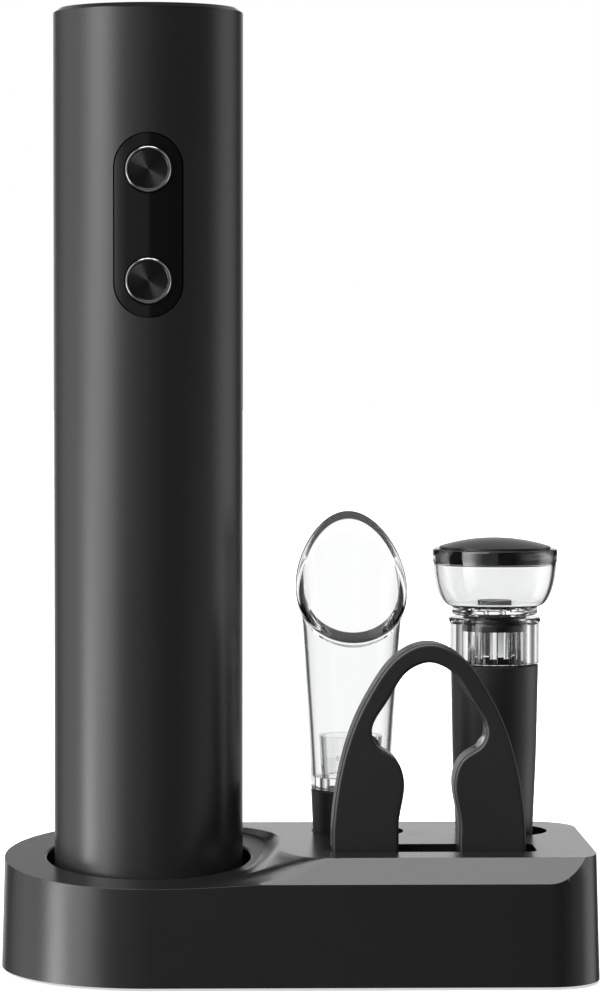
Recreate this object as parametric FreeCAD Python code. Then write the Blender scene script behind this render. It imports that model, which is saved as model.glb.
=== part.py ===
"""Electric wine opener set: a cordless corkscrew tube in a storage stand, with an aerating
pourer, a vacuum stopper and a foil cutter.

Millimetres. +Z is up. The origin is the middle of the stand's footprint on the table,
-Y is the front, and the opener stands at the -X end.
"""
import FreeCAD
import Part

import math
import os

V = FreeCAD.Vector
UP = V(0, 0, 1)

# ---- clearances -------------------------------------------------------------------------
fit_gap = 0.05            # between pieces that are pressed or glued together
slide_gap = 0.3           # between a moving button and its hole
lift_gap = 0.5            # round a loose part in its socket

# ---- stand ------------------------------------------------------------------------------
stand_length = 147.0
stand_depth = 73.5
deck_z = 31.7
stand_wall = 2.2
stand_draft = math.radians(1.6)
corner_front_r = 13.5
corner_rear_r = 12.0
foot_height = 0.8
foot_r = 6.0
foot_inset = 15.0
cover_thickness = 2.2
well_r = 25.4
well_floor_z = 7.0
well_pad_thickness = 1.6
liner_top_z = 20.0
ring_z = 28.15            # height of the tilted ring at the opener's axis
ring_slope = 0.095        # rise of the ring per millimetre towards the back
ring_r = 35.3
bevel_width = 3.85        # how far the front bevel reaches back
bevel_drop = 5.7
swoosh_reach = 49.0       # how far the ring's front corner sweeps along the bevel
blend_back = 1.2          # how wide the hollow from the ring to the deck is, behind
blend_front = 8.5         # and in front
blend_turn_y = 22.0       # where it starts to widen, and over what depth it does
blend_turn_length = 28.0
pocket_floor_z = 10.0

# ---- opener -----------------------------------------------------------------------------
tube_r = 23.5
tube_wall = 1.2
opener_length = 229.9
cap_chamfer = 1.2
cap_rim_r = 22.05
neck_bore_r = 15.6
neck_bore_depth = 32.0
chamber_r = 14.2
chamber_length = 58.0
panel_width = 16.4
panel_height = 44.3
panel_gap = 0.36
panel_thickness = 1.3
panel_above_mouth = 176.05   # from the mouth to the middle of the panel
button_pitch = 27.0
button_r = 5.65
button_face_r = 5.0
button_proud = 0.25
button_travel = 0.8
board_thickness = 1.6

# ---- drive ------------------------------------------------------------------------------
gear_module = 0.6
sun_teeth = 12
planet_teeth = 18
ring_teeth = sun_teeth + 2 * planet_teeth
planet_count = 3
pressure_angle = math.radians(20)
addendum = 0.85
dedendum = 1.15
tooth_play = 0.07
gear_width = 6.0
carrier_thickness = 2.5
planet_pin_r = 1.5
pin_gap = 0.05
worm_wire_r = 1.5
worm_helix_r = 3.5
worm_pitch = 8.8
worm_turns = 4.75
holder_length = 10.0
spindle_grip = 7.5         # how far the spindle reaches into the worm holder
motor_r = 13.85
motor_length = 32.0
cell_r = 9.2
cell_length = 65.0

# ---- accessories ------------------------------------------------------------------------
accessory_y = 18.5
pourer_x = 14.65
stopper_x = 51.25
socket_r = 11.7
socket_shift = 1.75       # each socket's mouth is set off to +X, to let a finger in
cutter_x = 31.95
cutter_y = -14.4
cutter_thickness = 11.0
cutter_top_z = 82.6
cutter_leg = 23.75
cutter_gap = 7.45
cutter_slot_x = 50.5
cutter_slot_shift = 1.2    # the pocket is set off to +X like the sockets
cutter_slot_y = 14.5
wheel_r = 3.4
wheel_thickness = 0.6
pump_stroke = 30.0

# ---- places that follow -----------------------------------------------------------------
opener_x = -stand_length / 2 + stand_depth / 2
mouth_z = well_floor_z + well_pad_thickness
top_z = mouth_z + opener_length
bore_r = tube_r - tube_wall
chassis_r = bore_r - fit_gap
chassis_inner_r = chassis_r - 1.6
chamber_z = mouth_z + neck_bore_depth
bulkhead_z = chamber_z + chamber_length
bulkhead_thickness = 5.0
gearbox_z = bulkhead_z + bulkhead_thickness
stage_height = carrier_thickness + 2 * 0.4 + gear_width + 1.2
gearbox_length = 2 * stage_height + 3.0
motor_z = gearbox_z + gearbox_length
cell_z = motor_z + motor_length + 6.0
panel_z = mouth_z + panel_above_mouth
board_y = -(tube_r - 10.1)

# ---- sizes within the pieces ------------------------------------------------------------
port_z = panel_z
cell_y = 1.5
switch_y = board_y - 3.6
bush_r = 6.0
spindle_r = 3.0
motor_shaft_r = 1.15
orbit_r = (sun_teeth + planet_teeth) * gear_module / 2
carrier_r = orbit_r + 4.0
ring_outer_r = ring_teeth * gear_module / 2 + 2.4
screw_reach = chassis_inner_r - 5.0
ear_reach = chassis_inner_r - 1.9
ear_height = 5.0
deck_start_x = opener_x + ring_r + 20.0
pourer_foot_r = 8.6
stopper_foot_r = 9.2
plug_top_z = 42.8
plug_top_r = 10.1
spout_foot_r = 10.1
spout_lip_r = 13.0
spout_mouth_z = 97.0
spout_slant = 48.5
spout_wall = 1.6
air_tube_r = 7.4
sleeve_top_z = 74.7
sleeve_top_r = 11.1
sleeve_deck_r = 9.8
barrel_r = 11.3
barrel_top_z = 86.3
piston_r = 8.1
piston_foot_z = barrel_top_z - 2 * pump_stroke    # half of it stays in when it is drawn out
disc_z = barrel_top_z + 0.9
disc_thickness = 1.9
bowl_z = disc_z + disc_thickness
bowl_base_r = 10.9
bowl_rim_r = 15.9
bowl_wall = 1.5
rim_wall = 0.8            # the bowl's thinner wall round the band
band_z = bowl_z + 11.1
band_height = 3.5
nut_r = 4.3
nut_height = 1.7
cap_r = 14.1
cap_rise = 2.2
cap_seat_z = band_z + 2.2
cap_edge_z = band_z + 4.1
axle_r = 0.8
wheel_x = 15.2
wheel_z = cutter_top_z - 26.1


# ---- helpers ----------------------------------------------------------------------------
def cylinder(radius, low, high, x=0.0, y=0.0):
    return Part.makeCylinder(radius, high - low, V(x, y, low), UP)


def tube(outer, inner, low, high, x=0.0, y=0.0):
    return cylinder(outer, low, high, x, y).cut(cylinder(inner, low - 1, high + 1, x, y))


def box(x0, x1, y0, y1, z0, z1):
    return Part.makeBox(x1 - x0, y1 - y0, z1 - z0, V(x0, y0, z0))


def rod_y(radius, y0, y1, x, z):
    return Part.makeCylinder(radius, y1 - y0, V(x, y0, z), V(0, 1, 0))


def turned(profile, x=0.0, y=0.0):
    """A solid of revolution about a vertical axis; the profile is (radius, z) points."""
    points = [V(x + r, y, z) for r, z in profile]
    face = Part.Face(Part.makePolygon(points + points[:1]))
    return face.revolve(V(x, y, 0), UP, 360)


def fused(shapes):
    shape = shapes[0]
    for other in shapes[1:]:
        shape = shape.fuse(other)
    return shape.removeSplitter()


def rounded(shape, radius, chosen):
    """Fillets the edges that the test chooses, or leaves the shape when there are none."""
    edges = [edge for edge in shape.Edges if chosen(edge)]
    return shape.makeFillet(radius, edges) if edges else shape


def level_edge(z):
    """A test for the closed or open edges that lie in one level plane."""
    return lambda edge: abs(edge.BoundBox.ZMin - z) < 1e-4 and abs(edge.BoundBox.ZMax - z) < 1e-4


def stadium(width, height, x, z, y0, y1):
    """A stadium-shaped prism along Y, round at its top and bottom."""
    r = width / 2
    half = height / 2 - r
    middle = box(x - r, x + r, y0, y1, z - half, z + half)
    return fused([middle, rod_y(r, y0, y1, x, z - half), rod_y(r, y0, y1, x, z + half)])


def opener_at(shape):
    """Moves a shape made about the Z axis to the opener's axis."""
    shape.translate(V(opener_x, 0, 0))
    return shape


# ---- stand ------------------------------------------------------------------------------
def outline(inset, z):
    """The stand's plan outline: round about the opener, with two rounded corners at +X."""
    grow = -inset - z * math.tan(stand_draft)
    half = stand_depth / 2 + grow
    right = stand_length / 2 + grow
    front_r = corner_front_r + grow
    rear_r = corner_rear_r + grow
    slant = math.sqrt(0.5)
    front_c = V(right - front_r, -half + front_r, z)
    rear_c = V(right - rear_r, half - rear_r, z)
    corners = [
        Part.LineSegment(V(opener_x, -half, z), V(front_c.x, -half, z)),
        Part.Arc(V(front_c.x, -half, z), front_c + V(slant, -slant, 0) * front_r, V(right, front_c.y, z)),
        Part.LineSegment(V(right, front_c.y, z), V(right, rear_c.y, z)),
        Part.Arc(V(right, rear_c.y, z), rear_c + V(slant, slant, 0) * rear_r, V(rear_c.x, half, z)),
        Part.LineSegment(V(rear_c.x, half, z), V(opener_x, half, z)),
        Part.Arc(V(opener_x, half, z), V(opener_x - half, 0, z), V(opener_x, -half, z)),
    ]
    return Part.Wire([piece.toShape() for piece in corners])


def drafted(inset, low, high):
    """The outline, drafted inwards as it rises, between two heights."""
    return Part.makeLoft([outline(inset, low), outline(inset, high)], True, True)


def ring_height(y):
    return ring_z + ring_slope * y


def ring_edge(y):
    """Where the ring's circle lies at a depth, straight past its front and rear shoulders."""
    shoulder = 0.85 * ring_r
    inside = max(-shoulder, min(shoulder, y))
    x = math.sqrt(ring_r ** 2 - inside ** 2)
    return x - (y - inside) * inside / x


def deck_edge(y):
    """Where the deck begins: on the ring's circle, then sweeping away along the front."""
    sweep = swoosh_reach * (max(-y, 0.0) / (stand_depth / 2)) ** 3
    return ring_edge(y) + 0.25 + sweep


def blend_start(y):
    """Where the ring's flat top ends: near its circle behind, and by the well's rim in front."""
    t = max(0.0, min(1.0, (blend_turn_y - y) / blend_turn_length))
    return ring_edge(y) - blend_back - (blend_front - blend_back) * t * t * (3 - 2 * t)


def top_height(y):
    """The deck and the front bevel, with the crease between them a little rounded."""
    front = -stand_depth / 2 + deck_z * math.tan(stand_draft)
    bevel = deck_z - bevel_drop + (y - front) * bevel_drop / bevel_width
    spread = 1.2
    middle = (deck_z + bevel) / 2
    return middle - math.sqrt(((deck_z - bevel) / 2) ** 2 + spread ** 2) + spread + 0.05


def swoosh():
    """All that is cut away above the tilted ring and above the blend from it to the deck."""
    columns = 14
    rows = 48
    reach = stand_depth / 2 + 0.3
    grid = []
    for column in range(columns + 1):
        t = 1.15 * column / columns
        rise = t * t * (3 - 2 * t) if t < 1 else 1 + 0.8 * (t - 1)
        line = []
        for row in range(rows + 1):
            y = -reach + 2 * reach * row / rows
            x = blend_start(y) + t * (deck_edge(y) - blend_start(y))
            z = ring_height(y) + rise * (top_height(y) - ring_height(y))
            line.append(V(opener_x + x, y, z))
        grid.append(line)
    blend = Part.BSplineSurface()
    blend.interpolate(grid)
    lift = V(0, 0, 20)
    seam = blend.uIso(blend.bounds()[0]).toShape()
    first = seam.Vertexes[0].Point
    last = seam.Vertexes[-1].Point
    left = opener_x - stand_depth
    far_first = V(left, first.y, first.z)
    far_last = V(left, last.y, last.z)
    sides = [(last, far_last), (far_last, far_first), (far_first, first)]
    rim = Part.Wire([seam] + [Part.makeLine(a, b) for a, b in sides])
    return Part.Face(rim).extrude(lift), blend.toShape().extrude(lift)


def front_bevel():
    """The wedge that is cut from the front of the deck."""
    front = -stand_depth / 2 + deck_z * math.tan(stand_draft)
    steep = bevel_drop / bevel_width
    far = 20.0
    points = [
        V(0, front + bevel_width + far, deck_z + far * steep),
        V(0, front - far, deck_z - bevel_drop - far * steep),
        V(0, front - far, deck_z + far * steep),
    ]
    face = Part.Face(Part.makePolygon(points + points[:1]))
    face.translate(V(-stand_length, 0, 0))
    return face.extrude(V(2 * stand_length, 0, 0))


def cutter_pocket(grow, low):
    """The foil cutter's pocket in the deck, with rounded corners."""
    half_x = cutter_slot_x / 2 + grow
    half_y = cutter_slot_y / 2 + grow
    middle = cutter_x + cutter_slot_shift
    block = box(middle - half_x, middle + half_x, cutter_y - half_y, cutter_y + half_y,
                low, deck_z + 5)
    corner = 2.5 + grow
    return rounded(block, corner, lambda e: e.BoundBox.ZLength > deck_z - low)


def socket(grow, low, x):
    """The wide mouth of an accessory's socket."""
    return cylinder(socket_r + grow, low, deck_z + 4, x + socket_shift, accessory_y)


def screw_places():
    """The four screws that hold the bottom cover, two at each end."""
    left = opener_x + 1.0
    right = stand_length / 2 - foot_inset * 0.85
    half = stand_depth / 2 - 6.8
    return [(left, -half), (left, half), (right, -half), (right, half)]


def foot_places():
    left = opener_x - foot_inset * 0.75
    right = stand_length / 2 - 1.9 * foot_inset
    half = stand_depth / 2 - foot_inset * 0.85
    return [(left, -half), (left, half), (right, -half), (right, half)]


def screw_boss(x, y):
    return cylinder(3.2, foot_height + cover_thickness, ring_height(-stand_depth / 2) - 1.0, x, y)


def stand_body():
    """The stand's outside as a solid block: deck, tilted ring, blend and bevel."""
    ring, blend = swoosh()
    top = deck_z + 4
    block = drafted(0, foot_height, top).cut(box(-200, 200, -200, 200, deck_z, top + 5))
    return block.cut(front_bevel()).cut(ring).cut(blend)


def stand_shell():
    top = deck_z + 4
    outer = stand_body()
    low_roof = ring_height(-stand_depth / 2) - stand_wall
    hollow = drafted(stand_wall, -1, low_roof)
    right_side = box(deck_start_x, 200, -stand_depth / 2 + bevel_width + stand_wall + 2,
                     200, -1, deck_z - stand_wall)
    hollow = hollow.fuse(drafted(stand_wall, -1, deck_z - stand_wall).common(right_side))
    rim_low = foot_height + cover_thickness + fit_gap
    ledge = drafted(stand_wall - 0.9, -1, rim_low)
    cups = [
        cylinder(well_r + stand_wall, rim_low, top, opener_x, 0),
        socket(stand_wall, pocket_floor_z - stand_wall, pourer_x),
        socket(stand_wall, pocket_floor_z - stand_wall, stopper_x),
        cutter_pocket(stand_wall, pocket_floor_z - stand_wall),
    ]
    cups += [screw_boss(x, y) for x, y in screw_places()]
    walls = outer.cut(hollow)
    for cup in cups:
        walls = walls.fuse(cup.common(outer))
    walls = walls.cut(ledge)
    walls = walls.cut(cylinder(well_r, well_floor_z, top, opener_x, 0))
    for x, plug_r in ((pourer_x, pourer_foot_r), (stopper_x, stopper_foot_r)):
        walls = walls.cut(cylinder(plug_r + lift_gap, pocket_floor_z, top, x, accessory_y))
        walls = walls.cut(socket(0, pocket_floor_z + 10, x))
    walls = walls.cut(cutter_pocket(0, pocket_floor_z))
    for x, y in screw_places():
        walls = walls.cut(cylinder(1.25, 0, 14.0, x, y))
    walls = walls.removeSplitter()
    return rounded(walls, 0.7, on_well_rim)


def on_well_rim(edge):
    """Whether an edge is the rim of the opener's well, which lies in the tilted ring."""
    span = edge.BoundBox
    wide = abs(span.XLength - 2 * well_r) < 0.6
    return span.ZMin > liner_top_z and wide and abs(span.Center.x - opener_x) < 0.5


def stand_bottom_cover():
    low = foot_height
    plate = drafted(stand_wall - 0.9 + fit_gap, low, low + cover_thickness)
    for x, y in foot_places():
        plate = plate.cut(cylinder(foot_r + fit_gap, low - 1, low + 0.8, x, y))
    for x, y in screw_places():
        plate = plate.cut(cylinder(1.6, low - 1, low + 5, x, y))
        plate = plate.cut(cylinder(2.9, low - 1, low + 1.2, x, y))
    return plate


def stand_feet():
    feet = []
    for x, y in foot_places():
        pad = cylinder(foot_r, 0, foot_height + 0.8, x, y)
        feet.append(rounded(pad, 0.4, level_edge(0)))
    return Part.makeCompound(feet)


def stand_screws():
    screws = []
    for x, y in screw_places():
        head = cylinder(2.6, foot_height + 0.1, foot_height + 1.15, x, y)
        cross = box(x - 1.3, x + 1.3, y - 0.3, y + 0.3, 0, foot_height + 0.7)
        cross = cross.fuse(box(x - 0.3, x + 0.3, y - 1.3, y + 1.3, 0, foot_height + 0.7))
        screws.append(head.fuse(cylinder(1.2, foot_height + 1.15, 11.0, x, y)).cut(cross))
    return Part.makeCompound(screws)


def well_pad():
    return cylinder(well_r - fit_gap, well_floor_z, mouth_z, opener_x, 0)


def well_liner():
    outer = well_r - fit_gap
    inner = tube_r + lift_gap
    profile = [(inner, mouth_z + fit_gap), (outer, mouth_z + fit_gap), (outer, liner_top_z),
               (outer - 0.4, liner_top_z), (inner, liner_top_z - 1.2)]
    return turned(profile, opener_x, 0)


# ---- opener casing ----------------------------------------------------------------------
def buttons_z():
    return panel_z + button_pitch / 2, panel_z - button_pitch / 2


def opener_tube():
    shape = tube(tube_r, bore_r, mouth_z + 1.2, top_z - cap_chamfer)
    hole = stadium(panel_width + 2 * panel_gap, panel_height + 2 * panel_gap, 0, panel_z, -40, -12)
    port = fused([box(-3.0, 3.0, 12, 40, port_z - 1.95, port_z + 1.95),
                  rod_y(1.95, 12, 40, -3.0, port_z), rod_y(1.95, 12, 40, 3.0, port_z)])
    return opener_at(shape.cut(hole).cut(port))


def opener_top_cap():
    skirt = bore_r - fit_gap
    seat = top_z - cap_chamfer
    profile = [(0, top_z), (cap_rim_r, top_z), (tube_r, seat + 0.15), (tube_r, seat), (skirt, seat),
               (skirt, seat - 5.0), (skirt - 1.8, seat - 5.0), (skirt - 1.8, seat - 1.5), (0, seat - 1.5)]
    return turned(profile, opener_x, 0)


def bottle_guide():
    flange_z = mouth_z + 1.2
    body = turned([
        (neck_bore_r + 4.0, mouth_z), (tube_r - 0.4, mouth_z), (tube_r - 0.1, mouth_z + 0.3),
        (tube_r - 0.1, flange_z), (bore_r - fit_gap, flange_z), (bore_r - fit_gap, flange_z + 8),
        (bore_r - 2.5, flange_z + 8), (neck_bore_r + 2.0, flange_z + 12), (neck_bore_r + 2.0, chamber_z),
        (neck_bore_r, chamber_z), (neck_bore_r, mouth_z + 6.0),
    ])
    for turn in range(8):
        rib = box(neck_bore_r + 1.0, bore_r - fit_gap, -0.7, 0.7, flange_z + 8, chamber_z - 4)
        rib.rotate(V(0, 0, 0), UP, 45 * turn)
        body = body.fuse(rib)
    return opener_at(body.removeSplitter())


def cork_chamber():
    outer = chamber_r + 2.0
    body = turned([(chamber_r, chamber_z), (outer, chamber_z), (outer, bulkhead_z - 2),
                   (bore_r - fit_gap, bulkhead_z - 2), (bore_r - fit_gap, bulkhead_z),
                   (chamber_r, bulkhead_z)])
    return opener_at(body)


def gear_bulkhead():
    plate = tube(chassis_inner_r - fit_gap, bush_r, bulkhead_z, gearbox_z)
    for turn in range(3):
        angle = math.radians(60 + 120 * turn)
        hole = cylinder(1.1, bulkhead_z - 1, gearbox_z + 1, ear_reach * math.cos(angle),
                        ear_reach * math.sin(angle))
        plate = plate.cut(hole)
    return opener_at(plate)


def gearbox_screws():
    screws = []
    for turn in range(3):
        angle = math.radians(60 + 120 * turn)
        x = opener_x + ear_reach * math.cos(angle)
        y = ear_reach * math.sin(angle)
        shank = cylinder(1.05, bulkhead_z, gearbox_z + ear_height, x, y)
        head = cylinder(1.8, gearbox_z + ear_height, gearbox_z + ear_height + 1.4, x, y)
        screws.append(shank.fuse(head))
    return Part.makeCompound(screws)


def gear_ring_housing():
    """The fixed ring gear, cut through a thick sleeve with three screw ears at its foot."""
    shell = cylinder(ring_outer_r, gearbox_z, motor_z)
    for turn in range(3):
        angle = math.radians(60 + 120 * turn)
        x = ear_reach * math.cos(angle)
        y = ear_reach * math.sin(angle)
        ear = cylinder(2.4, gearbox_z, gearbox_z + ear_height, x, y)
        shell = shell.fuse(ear.common(cylinder(chassis_inner_r - 2 * fit_gap, gearbox_z, motor_z)))
        shell = shell.cut(cylinder(1.1, gearbox_z - 1, gearbox_z + ear_height + 1, x, y))
    teeth = internal_space(ring_teeth, gearbox_z - 1, motor_z - 2.0)
    shell = shell.cut(teeth)
    shell = shell.cut(cylinder(carrier_r + 1.0, gearbox_z - 1, gearbox_z + carrier_thickness + 0.8))
    shell = shell.cut(cylinder(5.2, motor_z - 3, motor_z + 1))
    return opener_at(shell)


def spindle_bush():
    return tube(bush_r - fit_gap, spindle_r + 0.04, bulkhead_z - 1.0, gearbox_z - 0.1, opener_x, 0)


def chassis_half(side):
    """Half of the clamshell inside the tube; side is -1 in front and +1 behind."""
    shell = tube(chassis_r, chassis_inner_r, bulkhead_z + fit_gap, top_z - cap_chamfer - 5.2)
    rib_room = chassis_inner_r + 0.2
    for z in (motor_z + 4, motor_z + motor_length - 6):
        shell = shell.fuse(tube(rib_room, motor_r + fit_gap, z, z + 2))
    for z in (cell_z + 4, cell_z + cell_length - 8):
        rib = cylinder(rib_room, z, z + 2).cut(cylinder(cell_r + fit_gap, z - 1, z + 3, 0, cell_y))
        shell = shell.fuse(rib)
    for z in screw_heights():
        for x in (-screw_reach, screw_reach):
            side_x = math.copysign(rib_room, x)
            near_x = x - math.copysign(2.6, x)
            boss = box(min(side_x, near_x), max(side_x, near_x), -6, 6, z - 2.6, z + 2.6)
            shell = shell.fuse(boss.common(cylinder(rib_room, z - 4, z + 4)))
    keep = box(-40, 40, 0, 40, 0, 300) if side > 0 else box(-40, 40, -40, -fit_gap, 0, 300)
    shell = shell.common(keep)
    for z in screw_heights():
        for x in (-screw_reach, screw_reach):
            shell = shell.cut(rod_y(1.1, -7, 7, x, z))
    window_x = panel_width / 2 + 2.6
    window_z = panel_height / 2 + 2.6
    shell = shell.cut(box(-window_x, window_x, -40, board_y + 3.5, panel_z - window_z, panel_z + window_z))
    shell = shell.cut(box(-9, 9, cell_y + cell_r + 1.0, 40, port_z - 10, port_z + 10))
    shell = shell.cut(box(-3, 3, board_y + 2.0, board_y + 4.4, cell_z - 1, top_z))
    return opener_at(shell)


def chassis_front():
    return chassis_half(-1)


def chassis_rear():
    return chassis_half(1)


def chassis_screws():
    screws = []
    for z in screw_heights():
        for x in (-screw_reach, screw_reach):
            place = opener_x + x
            shank = rod_y(1.0, -6.5, 5.0, place, z)
            screws.append(shank.fuse(rod_y(1.9, -7.9, -6.5, place, z)))
    return Part.makeCompound(screws)


def screw_heights():
    return cell_z - 3.0, cell_z + cell_length / 2, cell_z + cell_length - 13.0


def button_panel():
    """A stadium cut from the tube's own curve, with a wider flange behind the tube wall."""
    face = stadium(panel_width, panel_height, 0, panel_z, -40, -12)
    face = face.common(tube(tube_r, bore_r - 0.2, panel_z - 40, panel_z + 40))
    flange = stadium(panel_width + 3.4, panel_height + 3.4, 0, panel_z, -40, -12)
    flange = flange.common(tube(bore_r - 0.1, bore_r - panel_thickness, panel_z - 40, panel_z + 40))
    shape = face.fuse(flange)
    for z in buttons_z():
        shape = shape.cut(rod_y(button_r + slide_gap, -40, -5, 0, z))
    return opener_at(shape.removeSplitter())


def button(z):
    """A round metal cap with a bevelled rim, a collar that keeps it in, and a stem."""
    face_y = -(tube_r + button_proud)
    collar_y = -(bore_r - panel_thickness) + 1.4
    points = [(0, face_y + 0.12), (button_face_r - 0.25, face_y + 0.12), (button_face_r, face_y),
              (button_r - 0.3, face_y), (button_r, face_y + 0.3), (button_r, collar_y),
              (button_r + 0.9, collar_y), (button_r + 0.9, collar_y + 0.9), (1.6, collar_y + 0.9),
              (1.6, switch_y - button_travel - 0.1), (0, switch_y - button_travel - 0.1)]
    corners = [V(opener_x + r, y, z) for r, y in points]
    face = Part.Face(Part.makePolygon(corners + corners[:1]))
    return face.revolve(V(opener_x, 0, z), V(0, 1, 0), 360)


def up_button():
    return button(buttons_z()[0])


def down_button():
    return button(buttons_z()[1])


def control_board():
    half = panel_height / 2
    board = box(-7.6, 7.6, board_y, board_y + board_thickness, panel_z - half, panel_z + half)
    chip = box(-3.0, 3.0, board_y - 1.1, board_y, panel_z - 3.0, panel_z + 3.0)
    return opener_at(board.fuse(chip).removeSplitter())


def tact_switches():
    switches = []
    for z in buttons_z():
        body = box(opener_x - 3, opener_x + 3, board_y - 3.2, board_y, z - 3, z + 3)
        switches.append(body.fuse(rod_y(1.7, switch_y, board_y - 3.2, opener_x, z)))
    return Part.makeCompound(switches)


def charge_board():
    low_y = cell_y + cell_r + 1.6
    return opener_at(box(-7, 7, low_y, low_y + board_thickness, port_z - 8, port_z + 8))


def usb_port():
    """The receptacle: a flattened steel sleeve with a tongue, flush with the tube."""
    low_y = cell_y + cell_r + 1.6 + board_thickness
    high_y = bore_r + 0.3
    sleeve = fused([box(-3.0, 3.0, low_y, high_y, port_z - 1.6, port_z + 1.6),
                    rod_y(1.6, low_y, high_y, -3.0, port_z), rod_y(1.6, low_y, high_y, 3.0, port_z)])
    mouth = fused([box(-3.0, 3.0, low_y + 1.0, high_y + 1, port_z - 1.25, port_z + 1.25),
                   rod_y(1.25, low_y + 1.0, high_y + 1, -3.0, port_z),
                   rod_y(1.25, low_y + 1.0, high_y + 1, 3.0, port_z)])
    tongue = box(-3.3, 3.3, low_y, high_y - 1.2, port_z - 0.35, port_z + 0.35)
    return opener_at(sleeve.cut(mouth).fuse(tongue))


def battery_cell():
    body = turned([(0, cell_z), (cell_r - 0.6, cell_z), (cell_r, cell_z + 0.6),
                   (cell_r, cell_z + cell_length - 2.2), (cell_r - 0.8, cell_z + cell_length - 1.2),
                   (3.0, cell_z + cell_length - 1.2), (3.0, cell_z + cell_length), (0, cell_z + cell_length)])
    body.translate(V(0, cell_y, 0))
    return opener_at(body)


def battery_tabs():
    high = cell_z + cell_length
    upper = box(-2.5, 2.5, board_y + 2.4, cell_y + 2.5, high, high + 0.2)
    drop = box(-2.5, 2.5, board_y + 2.2, board_y + 2.4, high - 12, high + 0.2)
    lower = box(-2.5, 2.5, board_y + 2.4, cell_y + 2.5, cell_z - 0.2, cell_z)
    rise = box(-2.5, 2.5, board_y + 2.2, board_y + 2.4, cell_z - 0.2, cell_z + 8)
    pair = [upper.fuse(drop).removeSplitter(), lower.fuse(rise).removeSplitter()]
    return opener_at(Part.makeCompound(pair))


# ---- drive ------------------------------------------------------------------------------
def involute(angle):
    return math.tan(angle) - angle


def tooth_points(teeth, tip_r, root_r, play):
    """One gear outline of straight chords along involute flanks, a tooth centred on +X."""
    pitch_r = teeth * gear_module / 2
    base_r = pitch_r * math.cos(pressure_angle)
    start_r = max(root_r, base_r)
    steps = 5
    half_at_pitch = math.pi / (2 * teeth) - play / (2 * pitch_r)
    flank = []
    for step in range(steps + 1):
        r = start_r + (tip_r - start_r) * step / steps
        lean = involute(math.acos(min(1.0, base_r / r)))
        flank.append((r, half_at_pitch + involute(pressure_angle) - lean))
    if root_r < base_r:
        flank.insert(0, (root_r, flank[0][1]))
    points = []
    for tooth in range(teeth):
        middle = 2 * math.pi * tooth / teeth
        both = [(r, middle - a) for r, a in flank] + [(r, middle + a) for r, a in reversed(flank)]
        points += [V(r * math.cos(a), r * math.sin(a), 0) for r, a in both]
    return points


def gear(teeth, low, turn=0.0):
    """A spur gear about the Z axis, turned by an angle in degrees."""
    pitch_r = teeth * gear_module / 2
    points = tooth_points(teeth, pitch_r + addendum * gear_module, pitch_r - dedendum * gear_module,
                          tooth_play)
    face = Part.Face(Part.makePolygon(points + points[:1]))
    face.rotate(V(0, 0, 0), UP, turn)
    face.translate(V(0, 0, low))
    return face.extrude(V(0, 0, gear_width))


def internal_space(teeth, low, high):
    """The space inside a ring gear, with a tooth of the ring centred on +X."""
    pitch_r = teeth * gear_module / 2
    points = tooth_points(teeth, pitch_r + dedendum * gear_module, pitch_r - addendum * gear_module,
                          -tooth_play)
    face = Part.Face(Part.makePolygon(points + points[:1]))
    face.rotate(V(0, 0, 0), UP, 180.0 / teeth)
    face.translate(V(0, 0, low))
    return face.extrude(V(0, 0, high - low))


def stage_z(stage):
    """Where a stage's carrier plate starts; stage 0 drives the worm, stage 1 the first sun."""
    return gearbox_z + 0.4 + stage * stage_height


def gears_z(stage):
    return stage_z(stage) + carrier_thickness + 0.4


def carrier(stage):
    """A carrier plate with three planet pins that reach up through the planets."""
    low = stage_z(stage)
    plate = cylinder(carrier_r, low, low + carrier_thickness)
    for turn in range(planet_count):
        angle = 2 * math.pi * turn / planet_count
        pin = cylinder(planet_pin_r, low, gears_z(stage) + gear_width + 0.3,
                       orbit_r * math.cos(angle), orbit_r * math.sin(angle))
        plate = plate.fuse(pin)
    return plate


def output_carrier():
    """The last carrier, with the spindle that runs down through the bush to the worm."""
    spindle = cylinder(spindle_r, bulkhead_z - spindle_grip, stage_z(0) + 1.0)
    return opener_at(carrier(0).fuse(spindle))


def first_carrier():
    """The first carrier, with the sun gear that it turns on its underside."""
    sun = gear(sun_teeth, gears_z(0))
    neck = cylinder(2.6, gears_z(0) + gear_width - 0.1, stage_z(1) + 0.1)
    return opener_at(fused([carrier(1), neck, sun]))


def planet(stage, turn):
    angle = 360.0 * turn / planet_count
    shape = gear(planet_teeth, gears_z(stage), 180.0 / planet_teeth)
    shape = shape.cut(cylinder(planet_pin_r + pin_gap, gears_z(stage) - 1, gears_z(stage) + gear_width + 1))
    shape.translate(V(orbit_r, 0, 0))
    shape.rotate(V(0, 0, 0), UP, angle)
    return opener_at(shape)


def motor_pinion():
    pinion = gear(sun_teeth, gears_z(1))
    return opener_at(pinion.cut(cylinder(motor_shaft_r, gears_z(1) - 1, gears_z(1) + gear_width + 1)))


def motor_rotor():
    shaft = cylinder(motor_shaft_r, gears_z(1) + 0.2, motor_z + motor_length)
    core = cylinder(8.6, motor_z + 7, motor_z + motor_length - 9)
    for turn in range(3):
        slot = box(5.0, 10, -1.0, 1.0, motor_z, motor_z + motor_length)
        slot.rotate(V(0, 0, 0), UP, 120 * turn + 60)
        core = core.cut(slot)
    drum = cylinder(3.0, motor_z + motor_length - 9, motor_z + motor_length - 4)
    return opener_at(shaft.fuse(core).fuse(drum))


def motor_can():
    can = cylinder(motor_r, motor_z, motor_z + motor_length - 2)
    can = can.cut(cylinder(motor_r - 0.9, motor_z + 1.2, motor_z + motor_length))
    can = can.fuse(cylinder(5.0, motor_z - 2.6, motor_z))
    return opener_at(can.cut(cylinder(motor_shaft_r + 0.25, motor_z - 5, motor_z + 5)))


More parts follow.
